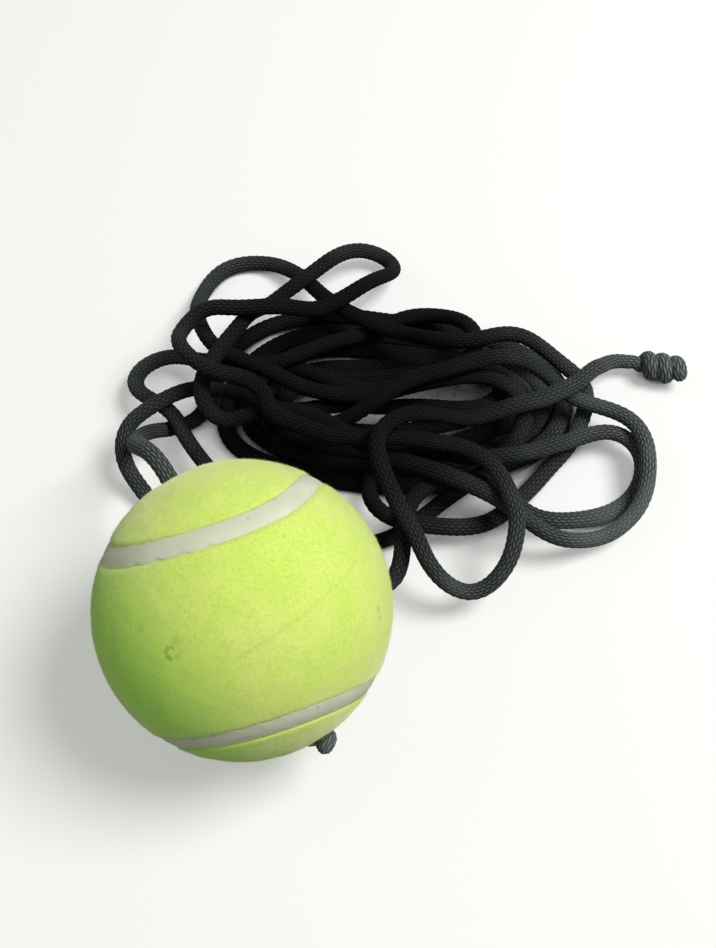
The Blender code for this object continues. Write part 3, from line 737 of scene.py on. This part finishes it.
# %% Felt material
SHADE_SIDE = (-0.80, -0.50, -0.33)
CREASE_AXIS = (-0.476, 0.629, 0.615)
CREASE_OFFSET = 2.7 * MM
CREASE_HALF = 0.8 * MM
SCUFFS = (
    ((-10.5, -17.3, 58.1), 0.8, 0.60),
    ((-11.5, -17.3, 57.7), 0.8, 0.70),
    ((-12.0, -17.8, 57.2), 0.8, 0.75),
    ((-11.6, -18.6, 56.7), 0.8, 0.70),
    ((-11.0, -19.0, 56.7), 0.8, 0.60),
    ((-9.7, -18.9, 57.4), 0.8, 0.50),
    ((-9.9, -16.3, 59.0), 1.8, 0.28),
    ((-17.3, -12.9, 57.0), 1.6, 0.30),
    ((29.2, -5.1, 46.2), 1.4, 0.40),
    ((29.5, -6.6, 44.7), 1.2, 0.34),
    ((10.0, 26.0, 50.0), 2.4, 0.35),
    ((-16.0, 24.0, 52.0), 1.8, 0.30),
    ((-20.0, -25.0, 30.0), 1.2, 0.28),
)

felt, tree = new_material("napped_wool_felt")
place = add_node(tree, "ShaderNodeTexCoord")
spot = place.outputs["Object"]
tufts = add_node(tree, "ShaderNodeTexNoise", {"Vector": spot, "Scale": per_mm(0.65), "Detail": 4.0})
hairs = add_node(tree, "ShaderNodeTexNoise", {"Vector": spot, "Scale": per_mm(0.32), "Detail": 3.0})
patches = add_node(tree, "ShaderNodeTexNoise", {"Vector": spot, "Scale": per_mm(9), "Detail": 3.0})
tuft_share = add_node(
    tree, "ShaderNodeMapRange", {"Value": tufts.outputs[0], "From Min": 0.25, "From Max": 0.72}
)
wool = add_node(
    tree, "ShaderNodeMix",
    {0: tuft_share.outputs[0], 6: hex_colour("#C6E154"), 7: hex_colour("#D9EC74")}, data_type="RGBA",
)
patch_share = add_node(
    tree, "ShaderNodeMapRange",
    {"Value": patches.outputs[0], "From Min": 0.4, "From Max": 0.75, "To Max": 0.35},
)
worn = add_node(
    tree, "ShaderNodeMix",
    {0: patch_share.outputs[0], 6: wool.outputs[2], 7: hex_colour("#E8F29A")}, data_type="RGBA",
)
middled = add_node(tree, "ShaderNodeVectorMath", {0: spot, 1: tuple(CENTRE)}, operation="SUBTRACT")
to_shade = add_node(
    tree, "ShaderNodeVectorMath", {0: middled.outputs[0], 1: SHADE_SIDE}, operation="DOT_PRODUCT"
)
# Painted shade: the lower side of the ball, turned away from the key lamp, is drawn in a deeper green.
painted_shade_side = add_node(tree, "ShaderNodeMapRange", {
    "Value": to_shade.outputs["Value"], "From Min": 0.05 * BALL_RADIUS, "From Max": 0.70 * BALL_RADIUS,
    "To Max": 0.95,
}, interpolation_type="SMOOTHSTEP")
wool_with_painted_shade = add_node(
    tree, "ShaderNodeMix",
    {0: painted_shade_side.outputs[0], 6: worn.outputs[2], 7: hex_colour("#A6EC32")}, data_type="RGBA",
)
scuffed = wool_with_painted_shade.outputs[2]
for middle, size, depth in SCUFFS:
    far = add_node(
        tree, "ShaderNodeVectorMath", {0: spot, 1: tuple(v * MM for v in middle)}, operation="DISTANCE"
    )
    near = add_node(tree, "ShaderNodeMapRange", {
        "Value": far.outputs["Value"], "From Min": size * MM, "From Max": 0.2 * size * MM, "To Max": depth,
    }, interpolation_type="SMOOTHSTEP")
    broken = add_node(
        tree, "ShaderNodeMath", {0: near.outputs[0], 1: tuft_share.outputs[0]}, operation="MULTIPLY"
    )
    mixed = add_node(
        tree, "ShaderNodeMix",
        {0: broken.outputs[0], 6: scuffed, 7: hex_colour("#2C420E")}, data_type="RGBA",
    )
    scuffed = mixed.outputs[2]
crease_off = add_node(
    tree, "ShaderNodeVectorMath", {0: middled.outputs[0], 1: CREASE_AXIS}, operation="DOT_PRODUCT"
)
crease_side = add_node(
    tree, "ShaderNodeMath", {0: crease_off.outputs["Value"], 1: CREASE_OFFSET}, operation="SUBTRACT"
)
crease_far = add_node(tree, "ShaderNodeMath", {0: crease_side.outputs[0]}, operation="ABSOLUTE")
crease_depth = add_node(tree, "ShaderNodeMath", {0: patch_share.outputs[0], 1: 0.5}, operation="MULTIPLY")
crease = add_node(tree, "ShaderNodeMapRange", {
    "Value": crease_far.outputs[0], "From Min": CREASE_HALF, "From Max": 0.0,
    "To Max": crease_depth.outputs[0],
}, interpolation_type="SMOOTHSTEP")
# Painted shade: a darker line along the crease, where the dent is shaded. The dent itself is in the bump.
crease_painted_shade = add_node(
    tree, "ShaderNodeMix",
    {0: crease.outputs[0], 6: scuffed, 7: hex_colour("#7E9430")}, data_type="RGBA",
)
nap_height = add_node(
    tree, "ShaderNodeMath", {0: hairs.outputs[0], 1: 0.7, 2: tufts.outputs[0]}, operation="MULTIPLY_ADD"
)
pressed = add_node(
    tree, "ShaderNodeMath", {0: crease.outputs[0], 1: -1.2, 2: nap_height.outputs[0]},
    operation="MULTIPLY_ADD",
)
bump = add_node(
    tree, "ShaderNodeBump", {"Strength": 0.2, "Distance": 0.15 * MM, "Height": pressed.outputs[0]}
)
shader = add_node(tree, "ShaderNodeBsdfPrincipled", {
    "Base Color": crease_painted_shade.outputs[2], "Roughness": 0.97, "Specular IOR Level": 0.15,
    "Sheen Weight": 0.65, "Sheen Roughness": 0.55, "Sheen Tint": hex_colour("#FFF6E6"),
    "Normal": bump.outputs[0],
})
add_node(tree, "ShaderNodeOutputMaterial", {"Surface": shader.outputs[0]})

# %% [markdown]
# ## Felt panels
# The solids already have the right dog-bone outline, holes and rest flat, but only in coarse facets. A copy
# of each, cut finer, is drawn out to the true ball. Felt is soft, so the panel's edge rounds off and leans
# in over the seam, the panel sinks a little round the holes where the cord pulls, and it is uneven by about
# a tenth of a millimetre.

# %% Shape the panels
FELT_LEVEL = BALL_RADIUS - 0.40 * MM
FELT_OUTSIDE = BALL_RADIUS - 0.5 * MM
EDGE_BOTTOM = BALL_RADIUS - 1.4 * MM
EDGE_GAP = 0.3 * MM
EDGE_ROUND = 0.80 * MM
ROUND_REACH = 1.2 * MM
EDGE_LEAN = 0.60 * MM
LEAN_REACH = 2.0 * MM
DIMPLE = 0.55 * MM
HOLE_EDGE = 2.3 * MM
DIMPLE_REACH = 2.6 * MM
UNEVEN = 0.10 * MM
UNEVEN_FROM = 0.6 * MM
UNEVEN_REACH = 2.0 * MM
FLOOR_TOUCH = 0.01 * MM


def felt_panel(name, node):
    """A solid's felt panel, cut finer, drawn out to the ball and softened."""
    bm = refined_copy(node, 5)
    spots = np.array([v.co for v in bm.verts]) - np.array(CENTRE)
    radius = np.linalg.norm(spots, axis=1)
    directions = unit(spots)
    from_seam, to_seam = seam_distance(directions)
    from_edge = from_seam - SEAM_HALF - EDGE_GAP
    rounding = EDGE_ROUND * (1 - eased(from_edge / ROUND_REACH)) ** 2
    leaning = EDGE_LEAN * (1 - eased(from_edge / LEAN_REACH)) / BALL_RADIUS
    inland = eased((from_edge - UNEVEN_FROM) / UNEVEN_REACH)
    off_bore = np.linalg.norm(np.cross(directions, np.array(EXIT_AXIS)), axis=1) * BALL_RADIUS
    dimple = DIMPLE * np.exp(-((off_bore - HOLE_EDGE) / DIMPLE_REACH) ** 2)
    for k, v in enumerate(bm.verts):
        if v.co.z < FLOOR_TOUCH:
            continue
        d = Vector(directions[k] + to_seam[k] * leaning[k]).normalized()
        if radius[k] < FELT_OUTSIDE:
            if from_edge[k] < 0.2 * MM:
                v.co = CENTRE + d * min(radius[k], EDGE_BOTTOM)
            continue
        uneven = UNEVEN * noise.noise(d * 9.0) + UNEVEN / 2 * noise.noise(d * 26.0)
        v.co = CENTRE + d * (FELT_LEVEL - rounding[k] - dimple[k] + uneven * inland[k])
        v.co.z = max(v.co.z, 0.0)
    made = piece_from(bm, name, felt)
    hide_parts(node)
    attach(made, "ball")
    return made


plain_felt = felt_panel("felt_plain", "felt_panel_plain")
drilled_felt = felt_panel("felt_drilled", "felt_panel_drilled")

# %% [markdown]
# ## Nap
# What makes felt look like felt is its nap: short curled fibres that stand off the surface and blur its
# outline. One fibre is a three-sided spike with a joint half way. It is copied thousands of times over each
# panel, every copy with its own length, lean and shade. Real fibres are about 0.03 mm thick, and so are
# these. More of them stand along the seam, where the cut edge frays over the rubber. None stand where they
# would brush the stopper or the floor.

# %% Nap material and fibres
NAP_COUNT = 21000
NAP_LOWEST = 31.6 * MM
NAP_FROM_STOPPER = 5.0 * MM
NAP_FROM_FLOOR = 0.15 * MM
FRAY_REACH = 0.6 * MM
FRAY_SHARE = 5
ROOT_DEPTH = 0.05 * MM
FIBRE_LENGTH = (0.45, 1.05)
FIBRE_RADIUS = (0.012, 0.018)
FIBRE_RISE = (0.15, 0.60)
FIBRE_CURL = (-0.35, 0.35)

nap_wool, tree = new_material("loose_wool_fibre")
tint = add_node(tree, "ShaderNodeAttribute", attribute_name="shade")
wool = add_node(
    tree, "ShaderNodeMix",
    {0: tint.outputs["Fac"], 6: hex_colour("#CEE862"), 7: hex_colour("#ECF6A8")}, data_type="RGBA",
)
shader = add_node(tree, "ShaderNodeBsdfPrincipled", {
    "Base Color": wool.outputs[2], "Roughness": 0.9, "Specular IOR Level": 0.2,
    "Sheen Weight": 0.2, "Sheen Roughness": 0.5,
})
add_node(tree, "ShaderNodeOutputMaterial", {"Surface": shader.outputs[0]})

bm = bmesh.new()
bmesh.ops.create_cone(bm, cap_ends=False, segments=3, radius1=1, radius2=0, depth=1)
bmesh.ops.translate(bm, vec=(0, 0, 0.5), verts=bm.verts[:])
rising = [e for e in bm.edges if abs(e.verts[0].co.z - e.verts[1].co.z) > 0.5]
bmesh.ops.subdivide_edges(bm, edges=rising, cuts=1)
bmesh.ops.recalc_face_normals(bm, faces=bm.faces[:])
bm.verts.index_update()
fibre_points = np.array([v.co for v in bm.verts])
fibre_faces = [[v.index for v in f.verts] for f in bm.faces]
bm.free()
print("one fibre:", len(fibre_points), "corners,", len(fibre_faces), "faces")


def nap(name, panel, count, seed):
    """Scatter fibres over the outside of a felt panel."""
    pick = np.random.default_rng(seed)
    mesh = panel.data
    mesh.calc_loop_triangles()
    corners = np.array([v.co for v in mesh.vertices])
    triangles = np.array([t.vertices[:] for t in mesh.loop_triangles])
    p = corners[triangles]
    facing = np.cross(p[:, 1] - p[:, 0], p[:, 2] - p[:, 0])
    area = np.linalg.norm(facing, axis=1) / 2
    middle = p.mean(axis=1) - np.array(CENTRE)
    outward = (facing * middle).sum(axis=1) > NAP_LOWEST * area
    inside = (np.linalg.norm(middle, axis=1) <= NAP_LOWEST) | ~outward
    at_stopper = unit(middle) @ np.array(EXIT_AXIS) < -math.cos(NAP_FROM_STOPPER / BALL_RADIUS)
    at_floor = p[:, :, 2].min(axis=1) < NAP_FROM_FLOOR
    from_seam, _ = seam_distance(unit(middle))
    frayed = np.exp(-((from_seam - SEAM_HALF - EDGE_GAP) / FRAY_REACH) ** 2)
    share = np.where(inside | at_stopper | at_floor, 0, area * (1 + FRAY_SHARE * frayed))
    chosen = pick.choice(len(triangles), count, p=share / share.sum())
    f = pick.random((count, 2))
    f = np.where((f.sum(axis=1) > 1)[:, None], 1 - f, f)
    root = p[chosen, 0] + f[:, :1] * (p[chosen, 1] - p[chosen, 0]) + f[:, 1:] * (p[chosen, 2] - p[chosen, 0])
    out = unit(root - np.array(CENTRE))
    side = unit(np.cross(out, pick.normal(size=(count, 3))))
    bend = np.cross(out, side)
    long = MM * pick.uniform(*FIBRE_LENGTH, count)
    rise = pick.uniform(*FIBRE_RISE, count)
    curl = pick.uniform(*FIBRE_CURL, count)
    thick = MM * pick.uniform(*FIBRE_RADIUS, count)
    x, y, z = (fibre_points[:, k][None, :, None] for k in range(3))
    centre = root[:, None, :] - ROOT_DEPTH * out[:, None, :]
    centre = centre + (side * long[:, None])[:, None, :] * z
    centre = centre + (out * (long * rise)[:, None])[:, None, :] * (1.6 * z - 0.8 * z * z)
    centre = centre + (bend * (long * curl)[:, None])[:, None, :] * z * z
    spread = (bend * thick[:, None])[:, None, :] * x + (out * thick[:, None])[:, None, :] * y
    verts = (centre + spread).reshape(-1, 3)
    verts[:, 2] = np.maximum(verts[:, 2], 0.02 * MM)
    faces = [
        [corner + k * len(fibre_points) for corner in face]
        for k in range(count) for face in fibre_faces
    ]
    made = bpy.data.meshes.new(name)
    made.from_pydata(verts.tolist(), [], faces)
    shade = np.repeat(pick.random(count), len(fibre_points))
    made.attributes.new("shade", "FLOAT", "POINT").data.foreach_set("value", shade.astype(np.float32))
    made.shade_smooth()
    made.materials.append(nap_wool)
    obj = bpy.data.objects.new(name, made)
    scene.collection.objects.link(obj)
    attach(obj, "ball")


for k in range(2):
    nap(f"nap_plain_{k + 1}", plain_felt, NAP_COUNT, 11 + k)
    nap(f"nap_drilled_{k + 1}", drilled_felt, NAP_COUNT, 21 + k)
print("nap of", 4 * NAP_COUNT, "fibres")

# %% [markdown]
# ## Seam
# The seam is a strip of pale grey rubber, vulcanised between the panels. It lies a little below the felt,
# is slightly crowned, and runs on under the edges of both panels. On a used ball it carries small dark
# specks. Two larger dots were placed from pixels of the photograph. Rubber has a soft satin gloss.

# %% Seam strip
SEAM_OUTSIDE = 31.9 * MM
SEAM_LEVEL = 32.18 * MM
SEAM_CROWN = 0.28 * MM
SEAM_UNEVEN = 0.03 * MM
SEAM_TUCK = 0.5 * MM
DOTS = (((2.0, 4.7, 65.2), 0.55), ((11.1, 8.5, 62.5), 0.75))

rubber, tree = new_material("pale_seam_rubber")
place = add_node(tree, "ShaderNodeTexCoord")
spot = place.outputs["Object"]
cloud = add_node(tree, "ShaderNodeTexNoise", {"Vector": spot, "Scale": per_mm(6), "Detail": 4.0})
grain = add_node(tree, "ShaderNodeTexNoise", {"Vector": spot, "Scale": per_mm(0.5), "Detail": 3.0})
pale = add_node(
    tree, "ShaderNodeMix",
    {0: cloud.outputs[0], 6: hex_colour("#C4C6AE"), 7: hex_colour("#E0E1CB")}, data_type="RGBA",
)
speck_noise = add_node(tree, "ShaderNodeTexNoise", {"Vector": spot, "Scale": per_mm(1.1), "Detail": 1.0})
speck = add_node(
    tree, "ShaderNodeMapRange",
    {"Value": speck_noise.outputs[0], "From Min": 0.72, "From Max": 0.78, "To Max": 0.6},
)
marked = add_node(
    tree, "ShaderNodeMix",
    {0: speck.outputs[0], 6: pale.outputs[2], 7: hex_colour("#6E7060")}, data_type="RGBA",
)
specked = marked.outputs[2]
for middle, size in DOTS:
    far = add_node(
        tree, "ShaderNodeVectorMath", {0: spot, 1: tuple(v * MM for v in middle)}, operation="DISTANCE"
    )
    near = add_node(tree, "ShaderNodeMapRange", {
        "Value": far.outputs["Value"], "From Min": size * MM, "From Max": 0.4 * size * MM, "To Max": 0.8,
    })
    dot = add_node(
        tree, "ShaderNodeMix",
        {0: near.outputs[0], 6: specked, 7: hex_colour("#4A4A40")}, data_type="RGBA",
    )
    specked = dot.outputs[2]
bump = add_node(
    tree, "ShaderNodeBump", {"Strength": 0.25, "Distance": 0.08 * MM, "Height": grain.outputs[0]}
)
shader = add_node(tree, "ShaderNodeBsdfPrincipled", {
    "Base Color": specked, "Roughness": 0.55, "IOR": 1.52, "Specular IOR Level": 0.4,
    "Normal": bump.outputs[0],
})
add_node(tree, "ShaderNodeOutputMaterial", {"Surface": shader.outputs[0]})

bm = refined_copy("seam_strip", 3)
spots = np.array([v.co for v in bm.verts]) - np.array(CENTRE)
radius = np.linalg.norm(spots, axis=1)
directions = unit(spots)
from_middle, to_middle = seam_distance(directions)
tucked = SEAM_TUCK * (from_middle / SEAM_HALF) ** 2 / BALL_RADIUS
for k, v in enumerate(bm.verts):
    if radius[k] < SEAM_OUTSIDE:
        continue
    d = Vector(directions[k] - to_middle[k] * tucked[k]).normalized()
    crown = SEAM_CROWN * max(0.0, 1 - (from_middle[k] / SEAM_HALF) ** 2)
    v.co = CENTRE + d * (SEAM_LEVEL + crown + SEAM_UNEVEN * noise.noise(d * 20.0))
    v.co.z = max(v.co.z, 0.0)
seam = piece_from(bm, "seam_rubber", rubber)
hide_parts("seam_strip")
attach(seam, "ball")

# %% [markdown]
# ## Core
# The rubber core shows only in the two holes. It is dark moulded rubber, so the solids stay as they are and
# get a dull finish with a fine grain.

# %% Core finish
core, tree = new_material("moulded_core_rubber")
place = add_node(tree, "ShaderNodeTexCoord")
grain = add_node(
    tree, "ShaderNodeTexNoise",
    {"Vector": place.outputs["Object"], "Scale": per_mm(0.8), "Detail": 4.0},
)
tone = add_node(
    tree, "ShaderNodeMix",
    {0: grain.outputs[0], 6: hex_colour("#24241F"), 7: hex_colour("#3A3A34")}, data_type="RGBA",
)
bump = add_node(
    tree, "ShaderNodeBump", {"Strength": 0.3, "Distance": 0.1 * MM, "Height": grain.outputs[0]}
)
shader = add_node(tree, "ShaderNodeBsdfPrincipled", {
    "Base Color": tone.outputs[2], "Roughness": 0.7, "IOR": 1.52, "Normal": bump.outputs[0],
})
add_node(tree, "ShaderNodeOutputMaterial", {"Surface": shader.outputs[0]})
for node in ("core_half_exit", "core_half_knot"):
    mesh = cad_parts[node].data
    mesh.materials.clear()
    mesh.materials.append(core)
